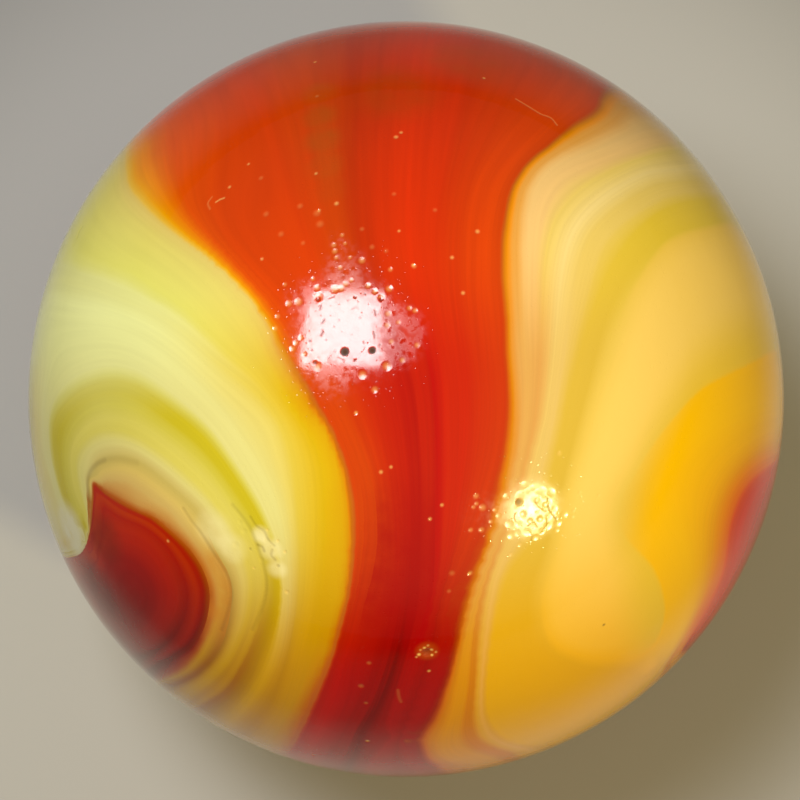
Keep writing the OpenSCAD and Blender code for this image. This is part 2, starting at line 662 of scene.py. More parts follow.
SANGUINE = (105, 0, 0)
MAROON = (115, 0, 0)
CLARET = (125, 0, 0)
OXBLOOD = (135, 0, 0)
GARNET = (145, 0, 0)
WINE = (150, 0, 0)
RUBY = (165, 0, 0)
CARMINE = (170, 12, 0)
CRIMSON = (180, 2, 0)
CHERRY = (182, 24, 0)
CADMIUM = (190, 30, 0)
SCARLET = (190, 36, 0)
BRICK = (184, 45, 0)
POPPY = (194, 50, 0)
TERRACOTTA = (194, 60, 0)
VERMILION = (200, 62, 0)
SIGNAL = (201, 46, 0)
FLAME = (212, 46, 0)
TOMATO = (206, 57, 0)
PAPRIKA = (214, 66, 0)
CINNABAR = (225, 80, 0)
TANGERINE = (231, 110, 0)
ORANGE = (237, 142, 0)
AMBER = (238, 165, 0)
HONEY = (237, 187, 57)
CHESTNUT = (157, 88, 0)
RUST = (158, 40, 0)
SIENNA = (174, 58, 0)
COPPER = (180, 80, 0)
SADDLE = (188, 93, 20)
UMBER = (170, 102, 0)
BRONZE = (194, 106, 0)
CINNAMON = (202, 100, 0)
GINGER = (209, 126, 0)
APRICOT = (214, 142, 52)
TAWNY = (210, 146, 68)
CARAMEL = (214, 157, 80)
PEACH = (216, 164, 84)
MELON = (228, 161, 69)
SHELL = (240, 196, 121)
BEIGE = (222, 188, 104)
SAND = (229, 198, 103)
TAN = (210, 186, 95)
KHAKI = (220, 199, 113)
IVORY = (230, 217, 128)
PARCHMENT = (228, 219, 134)
FLAX = (226, 211, 94)
OLIVE = (215, 200, 70)
DARK_OLIVE = (207, 188, 32)
MOSS = (218, 206, 88)
CORN = (225, 206, 104)
MAIZE = (221, 195, 68)
BRASS = (219, 186, 46)
MUSTARD = (215, 176, 8)
OCHRE = (212, 155, 0)
LEMON = (248, 248, 162)
LIME = (235, 229, 109)
CITRON = (240, 237, 147)
PRIMROSE = (230, 212, 106)
STRAW = (227, 199, 104)
BUTTER = (236, 205, 105)
CREAM = (244, 217, 137)
CANARY = (232, 200, 60)
JONQUIL = (247, 206, 84)
MIMOSA = (253, 212, 100)
CHAMPAGNE = (246, 208, 104)
DIJON = (207, 154, 0)
TREACLE = (180, 125, 0)
SYRUP = (192, 134, 0)
MEAD = (201, 144, 0)
BULLION = (214, 160, 0)
MARIGOLD = (219, 146, 0)
SAFFRON = (232, 173, 0)
ECRU = (224, 164, 42)
FAWN = (229, 170, 72)
YOLK = (247, 184, 0)
SUNFLOWER = (251, 194, 0)
QUINCE = (250, 190, 40)
SQUASH = (236, 197, 60)
BISCUIT = (231, 197, 87)
BRAN = (215, 180, 62)

TOP = (
    (2.3, LEMON), (2.42, LEMON), (2.52, CITRON), (2.59, CITRON), (2.64, LIME), (2.85, PRIMROSE),
    (2.96, STRAW), (3.0, HONEY), (3.05, AMBER), (3.1, ORANGE), (3.2, TANGERINE), (3.3, CINNABAR),
    (3.45, PAPRIKA), (3.6, TOMATO), (3.7, VERMILION), (3.8, TERRACOTTA), (3.95, BRICK), (4.1, SIGNAL),
    (4.25, FLAME), (4.4, SIGNAL), (4.6, TOMATO), (4.85, PAPRIKA), (4.97, VERMILION), (5.01, SADDLE),
    (5.04, GINGER), (5.08, ORANGE), (5.14, MELON), (5.2, MELON), (5.3, SHELL), (5.4, SHELL), (5.5, BUTTER),
    (5.75, CREAM), (6.0, BUTTER), (6.2, BUTTER), (6.35, CANARY), (6.8, CANARY), (6.9, JONQUIL),
    (7.1, MIMOSA),
)
MIDDLE = (
    (0.2, RUBY), (0.4, CARMINE), (0.55, CADMIUM), (0.64, SCARLET), (0.72, CHERRY), (0.8, POPPY),
    (0.86, POPPY), (0.92, CHERRY), (0.96, BRICK), (1.0, COPPER), (1.04, SADDLE), (1.08, TAWNY),
    (1.13, BEIGE), (1.2, SAND), (1.3, TAN), (1.37, KHAKI), (1.45, IVORY), (1.55, FLAX), (1.65, FLAX),
    (1.75, OLIVE), (1.85, DARK_OLIVE), (1.94, DARK_OLIVE), (2.0, MOSS), (2.06, PARCHMENT),
    (2.25, PARCHMENT), (2.45, CORN), (2.54, MAIZE), (2.7, BRASS), (2.85, MUSTARD), (2.93, OCHRE),
    (2.97, GINGER), (3.0, BRONZE), (3.05, SADDLE), (3.1, VERMILION), (3.42, VERMILION), (3.5, POPPY),
    (3.6, SCARLET), (3.8, CHERRY), (4.0, CARMINE), (4.1, CHERRY), (4.2, CRIMSON), (4.35, CADMIUM),
    (4.5, CADMIUM), (4.65, SCARLET), (4.92, POPPY), (4.96, BRICK), (5.0, CINNAMON), (5.03, GINGER),
    (5.07, APRICOT), (5.14, CARAMEL), (5.25, PEACH), (5.5, CARAMEL), (5.75, BEIGE), (6.0, BEIGE),
    (6.3, BRAN), (6.6, BRAN), (6.9, BISCUIT), (7.1, CHAMPAGNE),
)
FOOT = (
    (0.2, MAROON), (0.5, GARNET), (0.62, GARNET), (0.71, SANGUINE), (0.8, GARNET), (0.87, GARNET),
    (0.94, SANGUINE), (1.0, MAROON), (1.03, OXBLOOD), (1.06, RUST), (1.1, COPPER), (1.15, MEAD),
    (1.25, UMBER), (1.3, CHESTNUT), (1.37, SYRUP), (1.45, DIJON), (1.52, DIJON), (1.62, SYRUP), (1.7, MEAD),
    (1.76, UMBER), (1.85, TREACLE), (1.97, DIJON), (2.1, BULLION), (2.3, MEAD), (2.5, SYRUP), (2.7, MEAD),
    (2.85, MEAD), (2.95, BRONZE), (3.0, SADDLE), (3.05, SADDLE), (3.1, BRICK), (3.17, CARMINE),
    (3.4, CRIMSON), (3.5, RUBY), (3.6, WINE), (3.74, WINE), (3.82, MAROON), (3.9, CLARET), (4.0, GARNET),
    (4.15, RUBY), (4.7, WINE), (4.95, RUBY), (4.99, WINE), (5.01, RUST), (5.03, SIENNA), (5.05, CINNAMON),
    (5.1, GINGER), (5.18, MARIGOLD), (5.36, MARIGOLD), (5.46, GINGER), (5.58, GINGER), (5.74, ECRU),
    (5.9, FAWN), (6.06, ECRU), (6.2, SAFFRON), (6.8, SAFFRON), (6.9, YOLK), (7.0, QUINCE),
)
RIGHT = (
    (3.0, CARMINE), (4.3, CHERRY), (4.8, FLAME), (4.94, PAPRIKA), (5.01, CINNABAR), (5.08, TANGERINE),
    (5.4, ORANGE), (5.75, AMBER), (6.1, YOLK), (6.4, SUNFLOWER), (6.88, SUNFLOWER), (6.91, SQUASH),
    (7.1, SQUASH),
)

# How far down the picture, in ball radii from its middle, the colours begin and are full
TOP_ENDS = (-0.02, -0.36)
FOOT_ENDS = (0.25, 0.72)
TOP_SLANT = 0.15  # how much the top's ends rise, over how far to the right
RIGHT_PLACE = (745, 500)
RIGHT_EXTENT = (200, 140)  # pixels from there to where its colours begin and where they are full
RIGHT_FROM = 4.2  # the lowest band value that they lie on

# How far, in band values, the streaks push the colours about, against the band value
STREAK_SWAY = (
    (0.2, 0.16), (0.75, 0.12), (1.0, 0.04), (1.3, 0.05), (2.3, 0.07), (2.6, 0.03), (2.8, 0.05), (3.0, 0.02),
    (3.3, 0.10), (3.7, 0.30), (4.6, 0.30), (4.9, 0.03), (5.02, 0.02), (5.3, 0.06), (6.2, 0.07), (6.6, 0.03),
    (7.0, 0.02),
)
BAND_TOP = 8  # the band value at a ramp's end
RAMP_SPLIT = 3  # the band value that parts a ramp's two halves


def linear(colour):
    """An sRGB colour from 0 to 255 as linear light, with an alpha of 1."""
    shares = [value / 255 for value in colour]
    return [s / 12.92 if s <= 0.04045 else ((s + 0.055) / 1.055) ** 2.4 for s in shares] + [1]


class Nodes:
    """Short names for the shader nodes that the material is made of."""

    def __init__(self, tree):
        self.tree = tree

    def add(self, kind, inputs, **settings):
        """A node of this kind. Each input is a socket to link from or a value to set."""
        node = self.tree.nodes.new(kind)
        for name, value in settings.items():
            setattr(node, name, value)
        for key, value in inputs.items():
            if isinstance(value, bpy.types.NodeSocket):
                self.tree.links.new(value, node.inputs[key])
            else:
                node.inputs[key].default_value = value
        return node

    def calc(self, operation, *inputs):
        """The result of an operation on one, two or three numbers."""
        return self.add("ShaderNodeMath", dict(enumerate(inputs)), operation=operation).outputs[0]

    def product(self, first, second):
        """The product of two numbers."""
        return self.calc("MULTIPLY", first, second)

    def clamped(self, first, second):
        """The product of two numbers, kept from 0 to 1."""
        inputs = {0: first, 1: second}
        return self.add("ShaderNodeMath", inputs, operation="MULTIPLY", use_clamp=True).outputs[0]

    def vector(self, operation, first, second, output="Vector"):
        """The result of an operation on two vectors, or on a vector and a number."""
        key = "Scale" if operation == "SCALE" else 1
        inputs = {0: first, key: second}
        return self.add("ShaderNodeVectorMath", inputs, operation=operation).outputs[output]

    def smooth(self, value, ends, results=(0, 1)):
        """The value eased from the first end to the last, as a number from the first result to the last."""
        low, high = sorted(ends)
        first, last = results if ends[0] < ends[1] else results[::-1]
        inputs = {"Value": value, "From Min": low, "From Max": high, "To Min": first, "To Max": last}
        return self.add("ShaderNodeMapRange", inputs, interpolation_type="SMOOTHSTEP").outputs[0]

    def noise(self, place, scale, detail=2.0, layer=0.0):
        """A noise about 0.5, from 0 to 1, in four dimensions, the last of which is the layer."""
        inputs = {"Vector": self.vector("SCALE", place, scale), "W": layer, "Scale": 1.0, "Detail": detail}
        return self.add("ShaderNodeTexNoise", inputs, noise_dimensions="4D").outputs[0]

    def ramp(self, value, stops):
        """A colour ramp through these (value, linear colour) stops."""
        node = self.add("ShaderNodeValToRGB", {0: value})
        elements = node.color_ramp.elements
        elements.remove(elements[1])
        elements[0].position, elements[0].color = stops[0]
        for place, colour in stops[1:]:
            elements.new(place).color = colour
        return node.outputs[0]

    def mix(self, share, first, second):
        """The first colour with this share of the second in it."""
        inputs = {"Factor": share, 6: first, 7: second}
        return self.add("ShaderNodeMix", inputs, data_type="RGBA").outputs[2]


# ---------------------------------------------------------------- the glass

# A noise's scale is how many of its lumps go to a ball radius

WOBBLE = 0.06  # band values by which a slow noise moves the bands
WOBBLE_SCALE = 5
STREAK_LAYERS = 9  # streaks to one band value
STREAK_NOISE = (1.3, 3)  # scale and detail
FINE_LAYERS = 30  # fine streaks to one band value
FINE_NOISE = (2.5, 3)

# How much the fine streaks change the brightness, against the band value
FINE_CONTRASTS = (
    (0.2, 0.24), (1.0, 0.12), (2.0, 0.15), (2.9, 0.14), (3.2, 0.27), (4.8, 0.27), (5.1, 0.16), (5.6, 0.22),
    (6.4, 0.03),
)
# Dark and pale of the tinted marks: dirt, and painted shade along the creases; chalk, and painted glints
DIRT_AND_SHADE = (80, 46, 30)
CHALK_AND_GLINTS = (255, 206, 112)

PLAIN_ROUGHNESS = 0.03
ROUGHNESS_NOISE = (30, 4)  # scale and detail
ROUGHNESS_SPREAD = 0.05  # the most that the noise adds
TINT_ROUGHNESS = 0.35  # what a full tint adds
LAMP_ROUGHNESS = 0.15  # what the frosting round the lamp's glare adds
LAMP_FROSTED = (42, 14)  # pixels from the glare's middle to where the frosting begins and is full
RUB_NOISE = (64, 4)
RUB_ENDS = (0.25, 0.68)  # noise values at which a rubbed patch shows not at all and wholly
GLASS_IOR = 1.55

WAVE_NOISE = (9, 3)
WAVE_HEIGHT = 0.3  # pixels
PRICK_SCALE = 70.0
PRICK_ENDS = (0.05, 0.2)  # how far from its middle a prick's wall begins and ends, over a cell of the noise
PRICK_DEPTH = 0.08  # pixels

FULL_SHARE = 0.3  # how far out a patch shows fully, over its radius
RAG_NOISE = (22, 4)
RAG_GAIN = 1.6
RAG_LOW = 0.2  # how much of a patch shows where the noise is 0

# Soft patches: the pixel at the middle, the radius, the colour, how strongly it shows and the bands that it
# lies on
EVERYWHERE = (0, 8)
ON_EYE = (0, 0.97)
ROUND_EYE = (1.03, 3)
INNER_RING = (1.03, 1.3)
LOBE_SEAM = (0.97, 1.4)
RED_LEFT_HALF = (3.28, 4.2)
RED_LEFT_INSIDE = (3.44, 4.2)
PATCHES = (
    ((319, 92), 24, (180, 76, 8), 0.4, EVERYWHERE),
    ((320, 116), 23, (172, 76, 10), 0.5, EVERYWHERE),
    ((322, 140), 24, (172, 76, 10), 0.5, EVERYWHERE),
    ((325, 166), 23, (178, 74, 10), 0.45, EVERYWHERE),
    ((330, 190), 22, (184, 66, 6), 0.35, EVERYWHERE),
    ((395, 90), 60, (178, 62, 4), 0.45, EVERYWHERE),
    ((470, 60), 60, (184, 64, 4), 0.45, EVERYWHERE),
    # Painted sheen: pale patches on the chipped ridges by the creases, where a broad light's reflection
    # falls
    ((214, 530), 26, (248, 236, 165), 0.5, EVERYWHERE),
    ((232, 548), 20, (248, 236, 165), 0.5, EVERYWHERE),
    ((261, 535), 12, (250, 238, 175), 0.6, EVERYWHERE),
    ((271, 550), 15, (250, 238, 175), 0.6, EVERYWHERE),
    ((277, 569), 13, (250, 238, 175), 0.5, EVERYWHERE),
    ((216, 596), 78, (208, 128, 38), 0.5, INNER_RING),
    ((86, 508), 30, (186, 106, 20), 0.8, LOBE_SEAM),
    ((72, 532), 40, (232, 224, 178), 0.95, ROUND_EYE),
    ((103, 537), 38, (128, 24, 0), 0.5, ON_EYE),
    ((98, 590), 50, (100, 0, 0), 0.6, ON_EYE),
    ((427, 651), 14, (186, 84, 10), 0.6, EVERYWHERE),
    ((393, 566), 105, (165, 0, 0), 0.25, RED_LEFT_HALF),
    ((396, 566), 110, (165, 0, 0), 0.5, RED_LEFT_INSIDE),
)

# Rubbed patches: the pixel at the middle, the radius and the roughness that they add
RUBBED = (
    ((345, 330), 82, 0.12),
    ((346, 262), 30, 0.22),
    ((338, 238), 16, 0.22),
    ((404, 330), 36, 0.24),
    ((402, 350), 26, 0.2),
    ((300, 296), 26, 0.14),
    ((330, 380), 30, 0.14),
    ((531, 510), 56, 0.06),
    ((478, 512), 34, 0.14),
    ((409, 332), 17, 0.3),
)


def spot_of(nodes):
    """The place on the ball, in ball radii from its centre."""
    place = nodes.add("ShaderNodeTexCoord", {}).outputs["Object"]
    return nodes.vector("SCALE", nodes.vector("SUBTRACT", place, tuple(BALL_CENTRE)), 1 / BALL_R)


def attribute_of(nodes, name):
    """The value that the mesh's vertices carry under this name."""
    return nodes.add("ShaderNodeAttribute", {}, attribute_name=name).outputs["Fac"]


def band_ramp(nodes, band, stops):
    """A colour that depends on the band value by these (band value, linear colour) stops."""
    share = nodes.calc("DIVIDE", band, BAND_TOP)
    return nodes.ramp(share, [(value / BAND_TOP, colour) for value, colour in stops])


def level_ramp(nodes, band, stops):
    """A number that depends on the band value by these (band value, number) stops."""
    return band_ramp(nodes, band, [(value, (number, number, number, 1)) for value, number in stops])


def streaked_band(nodes, spot):
    """The band value, pushed about along the bands so that they look drawn out."""
    band = attribute_of(nodes, "band")
    wobble = nodes.calc("MULTIPLY_ADD", nodes.noise(spot, WOBBLE_SCALE), WOBBLE, -WOBBLE / 2)
    layer = nodes.product(band, STREAK_LAYERS)
    streak = nodes.calc("SUBTRACT", nodes.noise(spot, *STREAK_NOISE, layer), 0.5)
    sway = level_ramp(nodes, band, STREAK_SWAY)
    return nodes.calc("ADD", band, nodes.calc("MULTIPLY_ADD", streak, sway, wobble))


def banded_colour(nodes, band, stops):
    """The colour of these stops at the band value. Two ramps share them, since one takes 32."""

    def part(low, high):
        chosen = [(value, linear(colour)) for value, colour in stops if low <= value <= high]
        return band_ramp(nodes, band, chosen)

    above = nodes.calc("GREATER_THAN", band, RAMP_SPLIT)
    return nodes.mix(above, part(0, RAMP_SPLIT), part(RAMP_SPLIT, BAND_TOP))


def closeness(nodes, spot, pixel, ends):
    """From 0, ends[0] pixels from the place that shows at this pixel, up to 1, ends[1] pixels from it."""
    away = nodes.vector("DISTANCE", spot, tuple(front(pixel)[0]), "Value")
    return nodes.smooth(away, [end / BALL_SPAN for end in ends])


def swirl_colour(nodes, spot):
    """The colour of the bands, by their place on the ball."""
    band = streaked_band(nodes, spot)
    down = nodes.vector("DOT_PRODUCT", spot, tuple(-VIEW_AXES[1]), "Value")
    colour = banded_colour(nodes, band, MIDDLE)
    slanted = nodes.vector("DOT_PRODUCT", spot, tuple(TOP_SLANT * VIEW_AXES[0] - VIEW_AXES[1]), "Value")
    colour = nodes.mix(nodes.smooth(slanted, TOP_ENDS), colour, banded_colour(nodes, band, TOP))
    colour = nodes.mix(nodes.smooth(down, FOOT_ENDS), colour, banded_colour(nodes, band, FOOT))
    rightwards = closeness(nodes, spot, RIGHT_PLACE, RIGHT_EXTENT)
    rightwards = nodes.product(rightwards, nodes.calc("GREATER_THAN", band, RIGHT_FROM))
    return nodes.mix(rightwards, colour, banded_colour(nodes, band, RIGHT))


def fine_streaks(nodes, spot):
    """A brightness about 1 that varies finely across the bands."""
    band = attribute_of(nodes, "band")
    layer = nodes.product(band, FINE_LAYERS)
    streak = nodes.calc("SUBTRACT", nodes.noise(spot, *FINE_NOISE, layer), 0.5)
    return nodes.calc("MULTIPLY_ADD", streak, level_ramp(nodes, band, FINE_CONTRASTS), 1)


def with_patches(nodes, spot, colour):
    """The colour with the soft patches laid over it, their edges ragged."""
    ragged = nodes.calc("MULTIPLY_ADD", nodes.noise(spot, *RAG_NOISE), RAG_GAIN, RAG_LOW)
    band = attribute_of(nodes, "band")
    for pixel, radius, patch, strength, (lowest, highest) in PATCHES:
        close = closeness(nodes, spot, pixel, (radius, radius * FULL_SHARE))
        share = nodes.product(close, strength)
        share = nodes.product(share, nodes.calc("GREATER_THAN", band, lowest))
        share = nodes.product(share, nodes.calc("LESS_THAN", band, highest))
        colour = nodes.mix(nodes.clamped(share, ragged), colour, linear(patch))
    return colour


def roughness(nodes, spot, tint):
    """The roughness, greater where the glass is rubbed, round the lamp's glare, and in every tinted mark."""
    noise = nodes.noise(spot, *ROUGHNESS_NOISE)
    total = nodes.calc("MULTIPLY_ADD", noise, ROUGHNESS_SPREAD, PLAIN_ROUGHNESS)
    total = nodes.calc("MULTIPLY_ADD", nodes.calc("ABSOLUTE", tint), TINT_ROUGHNESS, total)
    frosted = closeness(nodes, spot, LAMP_GLARE, LAMP_FROSTED)
    total = nodes.calc("MULTIPLY_ADD", frosted, LAMP_ROUGHNESS, total)
    ragged = nodes.smooth(nodes.noise(spot, *RUB_NOISE), RUB_ENDS)
    for pixel, radius, gain in RUBBED:
        close = closeness(nodes, spot, pixel, (radius, radius * FULL_SHARE))
        total = nodes.calc("MULTIPLY_ADD", nodes.product(close, gain), ragged, total)
    return total


def with_wear_and_painted_light(nodes, colour, tint):
    """The colour darkened in the marks of negative tint, by dirt and by painted shade along the creases, and
    paled in those of positive tint, by chalk on chips and scratches and by painted glints on the glinting
    pits.
    """
    dirt_and_shade = nodes.mix(nodes.clamped(tint, -1.0), colour, linear(DIRT_AND_SHADE))
    return nodes.mix(nodes.clamped(tint, 1.0), dirt_and_shade, linear(CHALK_AND_GLINTS))


def worn_surface(nodes, spot):
    """A normal for a surface that is a little wavy and finely pricked."""
    cells = nodes.add("ShaderNodeTexVoronoi", {"Vector": spot, "Scale": PRICK_SCALE}, feature="F1")
    pricks = nodes.product(nodes.smooth(cells.outputs["Distance"], PRICK_ENDS), PRICK_DEPTH)
    height = nodes.calc("MULTIPLY_ADD", nodes.noise(spot, *WAVE_NOISE), WAVE_HEIGHT, pricks)
    return nodes.add("ShaderNodeBump", {"Height": height, "Strength": 1.0, "Distance": PIXEL}).outputs[0]


def swirl_glass():
    """Opaque glass, coloured through by the swirl."""
    material = bpy.data.materials.new("swirl_glass")
    material.use_nodes = True
    material.node_tree.nodes.clear()
    nodes = Nodes(material.node_tree)
    spot = spot_of(nodes)
    tint = attribute_of(nodes, "tint")
    colour = nodes.vector("SCALE", swirl_colour(nodes, spot), fine_streaks(nodes, spot))
    colour = with_wear_and_painted_light(nodes, with_patches(nodes, spot, colour), tint)
    inputs = {
        "Base Color": colour,
        "Roughness": roughness(nodes, spot, tint),
        "IOR": GLASS_IOR,
        "Normal": worn_surface(nodes, spot),
    }
    glass = nodes.add("ShaderNodeBsdfPrincipled", inputs)
    nodes.add("ShaderNodeOutputMaterial", {"Surface": glass.outputs[0]})
    return material


# ---------------------------------------------------------------- the mesh
#
# A cube's faces, blown up to the ball and divided evenly by angle. Cells divide further where a mark needs
# it, or where the bands lie close together. Places on the cube are whole numbers from -EDGE to EDGE.

CELLS = 76  # along each side of a cube face
DIVISIONS = 3  # times that a cell may be halved
LEAST_SIDE = 2  # the side of a cell that is divided no further
EDGE = CELLS * 2**DIVISIONS * LEAST_SIDE // 2
HALF_FACE = math.pi / 4  # radians from the middle of a cube face to its edge
CUBE_FACES = (
    # outwards, along u, along v
    ((1, 0, 0), (0, 1, 0), (0, 0, 1)),
    ((-1, 0, 0), (0, -1, 0), (0, 0, 1)),
    ((0, 1, 0), (-1, 0, 0), (0, 0, 1)),
    ((0, -1, 0), (1, 0, 0), (0, 0, 1)),
    ((0, 0, 1), (1, 0, 0), (0, 1, 0)),
    ((0, 0, -1), (1, 0, 0), (0, -1, 0)),
)
MAP_MARGIN = 0.012  # round a cube face on the map, over the side of the map's cell that it stands in
MARK_MARGIN = 1.5  # pixels round a mark that are divided like the mark
BAND_SPAN = 0.3  # a cell with more of the bands across it is halved


def cube_place(face, u, v):
    """Where (u, v) of these cube faces lies on the cube."""
    outwards, along_u, along_v = np.moveaxis(np.array(CUBE_FACES)[face], 1, 0)
    return EDGE * outwards + u[:, None] * along_u + v[:, None] * along_v


def ball_direction(places):
    """The direction of these places on the cube, once it is blown up."""
    return unit(np.tan(places / EDGE * HALF_FACE))


def near_marks(directions, reach):
    """Whether each direction lies within a mark, its margin and this reach."""
    skeletons = np.vstack([mark.skeleton for mark in MARKS])
    widths = np.concatenate([np.full(len(mark.skeleton), mark.half_width) for mark in MARKS])
    limits = (widths + MARK_MARGIN) / BALL_SPAN + reach
    return in_batches(directions, lambda part: (distances(part, skeletons) < limits).any(axis=1))


def crowded(face, low_u, low_v, size):
    """Whether each cell has more than BAND_SPAN of the bands across it."""
    corners = [cube_place(face, low_u + size * i, low_v + size * j) for i in (0, 1) for j in (0, 1)]
    values = [band_values(ball_direction(corner)) for corner in corners]
    return np.ptp(values, axis=0) > BAND_SPAN


def leaf_cells():
    """Every cell that isn't divided further, as (face, low u, low v, size)."""
    size = 2 * EDGE // CELLS
    starts = np.arange(-EDGE, EDGE, size)
    faces = np.arange(len(CUBE_FACES))
    face, low_u, low_v = (axis.ravel() for axis in np.meshgrid(faces, starts, starts, indexing="ij"))
    leaves = []
    for division in range(DIVISIONS + 1):
        middle = ball_direction(cube_place(face, low_u + size / 2, low_v + size / 2))
        divide = np.zeros(len(face), bool)
        if division < DIVISIONS:
            divide = near_marks(middle, size / EDGE * HALF_FACE / math.sqrt(2))
            divide |= crowded(face, low_u, low_v, size)
        leaves.append(np.column_stack([face, low_u, low_v, np.full(len(face), size)])[~divide])
        size //= 2
        face = np.repeat(face[divide], 4)
        low_u = (low_u[divide][:, None] + size * np.array([0, 1, 0, 1])).ravel()
        low_v = (low_v[divide][:, None] + size * np.array([0, 0, 1, 1])).ravel()
    return np.vstack(leaves)


class CubeNet:
    """The cells as polygons that share their corners, with a map place for each polygon's corner."""

    def __init__(self, cells):
        self.numbers = {}
        self.polygons = []
        self.map_places = []
        rings = [self.corners(*cell) for cell in cells.tolist()]
        for ring in rings:
            for corner in ring:
                self.number(*corner)
        for (face, low_u, low_v, size), ring in zip(cells.tolist(), rings):
            outline = []
            for start, end in zip(ring, ring[1:] + ring[:1]):
                outline += self.divided(start, end)
            if len(outline) == 4:
                self.keep(outline)
                continue
            middle = (face, low_u + size // 2, low_v + size // 2)
            for start, end in zip(outline, outline[1:] + outline[:1]):
                self.keep((start, end, middle))

    @staticmethod
    def corners(face, low_u, low_v, size):
        """The cell's four corners, anticlockwise from outside."""
        high_u, high_v = low_u + size, low_v + size
        return [(face, low_u, low_v), (face, high_u, low_v), (face, high_u, high_v), (face, low_u, high_v)]

    @staticmethod
    def key(face, u, v):
        """The place on the cube, which is the same from both faces at an edge."""
        outwards, along_u, along_v = CUBE_FACES[face]
        return tuple(EDGE * w + u * a + v * b for w, a, b in zip(outwards, along_u, along_v))

    def number(self, *corner):
        """The corner's vertex number, a new one if it has none yet."""
        return self.numbers.setdefault(self.key(*corner), len(self.numbers))

    def divided(self, start, end):
        """The corners from start up to end, with those that smaller cells beside this have between."""
        face, u, v = start
        middle = (face, (u + end[1]) // 2, (v + end[2]) // 2)
        if abs(u - end[1]) + abs(v - end[2]) == LEAST_SIDE or self.key(*middle) not in self.numbers:
            return [start]
        return self.divided(start, middle) + self.divided(middle, end)

    def keep(self, ring):
        """Adds a polygon."""
        self.polygons.append([self.number(*corner) for corner in ring])
        self.map_places += ring

    def directions(self):
        """The direction of every vertex."""
        return ball_direction(np.array(list(self.numbers), float))


def map_place(face, u, v):
    """Where a corner lies on the map, on which the cube faces stand in three columns and two rows."""
    across = MAP_MARGIN + (1 - 2 * MAP_MARGIN) * (u + EDGE) / (2 * EDGE)
    up = MAP_MARGIN + (1 - 2 * MAP_MARGIN) * (v + EDGE) / (2 * EDGE)
    return (face % 3 + across) / 3, (face // 3 + up) / 2


def added(name, data):
    """A new object, in the scene."""
    thing = bpy.data.objects.new(name, data)
    bpy.context.collection.objects.link(thing)
    return thing


def marble():
    """The marble, with its dents, the swirl's band value and the marks' tint at every vertex."""
    net = CubeNet(leaf_cells())
    directions = net.directions()
    depth, slope, tint = dents(directions)
    places = BALL_CENTRE + (BALL_R - PIXEL * depth)[:, None] * directions

    mesh = bpy.data.meshes.new("swirled_glass")
    mesh.from_pydata(places.tolist(), [], net.polygons)
    mesh.shade_smooth()
    bands = mesh.attributes.new("band", "FLOAT", "POINT")
    bands.data.foreach_set("value", band_values(directions))
    tints = mesh.attributes.new("tint", "FLOAT", "POINT")
    tints.data.foreach_set("value", tint)
    chart = mesh.uv_layers.new(name="OFBake")
    chart.data.foreach_set("uv", np.array([map_place(*corner) for corner in net.map_places]).ravel())
    mesh.normals_split_custom_set_from_vertices(unit(directions + slope).tolist())
    mesh.materials.append(swirl_glass())

    ball = added("glass_marble", mesh)
    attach(ball, "root")
    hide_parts("marble")


# ---------------------------------------------------------------- the floor, the light and the camera

FLOOR_SIDE = 3.0
# Painted pool of light: the floor is pale near the ball and fades to the far grey farther off
FLOOR_COLOUR = (173, 171, 165)
FAR_FLOOR_COLOUR = (108, 106, 101)
PAINTED_LIGHT_POOL = (1.4, 2.8)  # ball radii from under the ball to where the far colour begins and is full
FLOOR_ROUGHNESS = 0.9
FLOOR_SHINE = 0.2
WORLD_GREY = 0.1
HORIZON_GREY = 0.06
GREY_RISE = (0.0, 0.35)  # how high over the horizon, as a sine, the world leaves one grey and has the other
WORLD_TINT = (1.0, 0.98, 0.88)
GLOW_COLOUR = (0.26, 0.2, 0.09)
GLOW_FROM = (0.586, -0.543, 0.602)  # right, up and towards the camera
GLOW_RISE = (0.0, 0.4)  # how high over the horizon, as a sine, the glow begins and is full

# Where each lamp's corners show on the ball, and how far off they are: left top, right top, right foot and
# left foot
WINDOW_CORNERS = ((312, 292), (380, 292), (388, 366), (301, 366))
WINDOW_DISTANCES = (0.105, 0.105, 0.083, 0.083)
WINDOW_RADIANCE = 19.4
DAYLIGHT = (1.0, 0.99, 1.0)
LAMP_CORNERS = ((521, 498), (545, 498), (545, 522), (521, 522))
LAMP_DISTANCES = (0.12, 0.12, 0.12, 0.12)
LAMP_RADIANCE = 158
LAMPLIGHT = (1.0, 0.85, 0.44)


def floor():
    """The floor that the marble rests on, with a painted pool of light: pale near it and greyer farther off.
    """
    half = FLOOR_SIDE / 2
    low = float(BALL_LOW[2])
    corners = [(-half, -half, low), (half, -half, low), (half, half, low), (-half, half, low)]
    mesh = bpy.data.meshes.new("floor")
    mesh.from_pydata(corners, [], [(0, 1, 2, 3)])
    material = bpy.data.materials.new("pale_floor")
    material.use_nodes = True
    nodes = Nodes(material.node_tree)
    place = nodes.add("ShaderNodeTexCoord", {}).outputs["Object"]
    away = nodes.vector("DISTANCE", place, (float(BALL_CENTRE[0]), float(BALL_CENTRE[1]), low), "Value")
    share = nodes.smooth(away, [radii * BALL_R for radii in PAINTED_LIGHT_POOL])
    colour = nodes.mix(share, linear(FLOOR_COLOUR), linear(FAR_FLOOR_COLOUR))
    paint = material.node_tree.nodes["Principled BSDF"].inputs
    material.node_tree.links.new(colour, paint["Base Color"])
    paint["Roughness"].default_value = FLOOR_ROUGHNESS
    paint["Specular IOR Level"].default_value = FLOOR_SHINE
    mesh.materials.append(material)
    plane = added("floor", mesh)


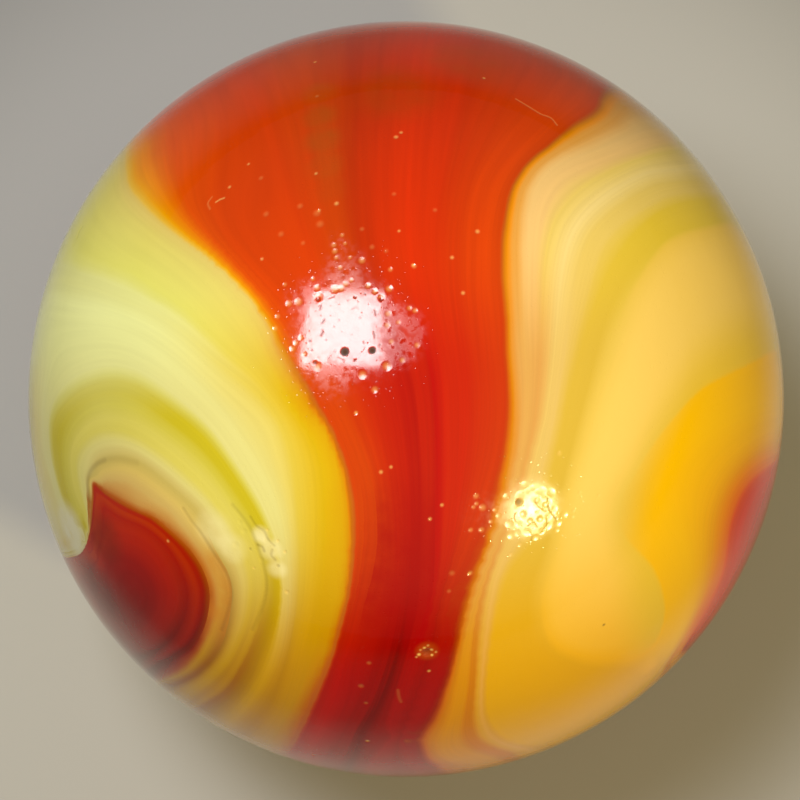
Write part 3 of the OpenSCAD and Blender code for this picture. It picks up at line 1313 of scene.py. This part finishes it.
def world():
    """Grey light from all round, with a soft warm glow on one side."""
    surroundings = bpy.data.worlds.new("surroundings")
    surroundings.use_nodes = True
    surroundings.node_tree.nodes.clear()
    nodes = Nodes(surroundings.node_tree)
    way = nodes.add("ShaderNodeTexCoord", {}).outputs["Generated"]
    glow_way = unit(np.array(GLOW_FROM)) @ VIEW_AXES
    height = nodes.add("ShaderNodeSeparateXYZ", {0: way}).outputs["Z"]
    glow = nodes.calc("MAXIMUM", nodes.vector("DOT_PRODUCT", way, tuple(glow_way), "Value"), 0)
    glow = nodes.product(nodes.product(glow, glow), nodes.smooth(height, GLOW_RISE))
    glow = nodes.vector("SCALE", GLOW_COLOUR, glow)
    grey = nodes.smooth(height, GREY_RISE, (HORIZON_GREY, WORLD_GREY))
    colour = nodes.vector("ADD", glow, nodes.vector("SCALE", WORLD_TINT, grey))
    light = nodes.add("ShaderNodeBackground", {"Color": colour})
    nodes.add("ShaderNodeOutputWorld", {"Surface": light.outputs[0]})
    bpy.context.scene.world = surroundings


def mirrored(pixel, distance):
    """The place whose reflection shows at this pixel, at a distance from the ball's face."""
    normal = front(pixel)[0]
    face = BALL_CENTRE + BALL_R * normal
    to_camera = unit(CAMERA_PLACE - face)
    return face + distance * (2 * (normal @ to_camera) * normal - to_camera)


def aimed(name, data, place, across, up):
    """A new object at this place, its x along across and its y near up."""
    along = unit(up - across * (up @ across))
    turn = Matrix(np.column_stack([across, along, np.cross(across, along)]).tolist())
    thing = added(name, data)
    thing.matrix_world = Matrix.Translation(place) @ turn.to_4x4()
    return thing


def lamp(name, shape, corners, corner_distances, radiance, colour):
    """A flat lamp whose reflection on the ball has these corners."""
    left_top, right_top, right_foot, left_foot = (mirrored(*pair) for pair in zip(corners, corner_distances))
    across = right_top + right_foot - left_top - left_foot
    up = left_top + right_top - left_foot - right_foot
    light = bpy.data.lights.new(name, "AREA")
    light.shape = shape
    light.size = float(np.linalg.norm(across)) / 2
    light.size_y = float(np.linalg.norm(up)) / 2
    area = light.size * light.size_y * (math.pi / 4 if shape == "ELLIPSE" else 1)
    light.energy = radiance * math.pi * area
    light.color = colour
    aimed(name, light, (left_top + right_top + left_foot + right_foot) / 4, unit(across), up)


def camera():
    """The camera, placed so that the ball shows where BALL_AT and BALL_SPAN say."""
    lens = bpy.data.cameras.new("camera")
    lens.lens = FOCAL / PICTURE_SIDE * lens.sensor_width
    lens.shift_x = (PICTURE_SIDE / 2 - BALL_AT[0]) / PICTURE_SIDE
    lens.shift_y = (BALL_AT[1] - PICTURE_SIDE / 2) / PICTURE_SIDE
    lens.clip_start = VIEW_DISTANCE / 10
    bpy.context.scene.camera = aimed("camera", lens, CAMERA_PLACE, VIEW_AXES[0], VIEW_AXES[1])


marble()
floor()
world()
lamp("window", "RECTANGLE", WINDOW_CORNERS, WINDOW_DISTANCES, WINDOW_RADIANCE, DAYLIGHT)
lamp("desk_lamp", "ELLIPSE", LAMP_CORNERS, LAMP_DISTANCES, LAMP_RADIANCE, LAMPLIGHT)
camera()
bpy.context.scene.view_settings.view_transform = "Standard"
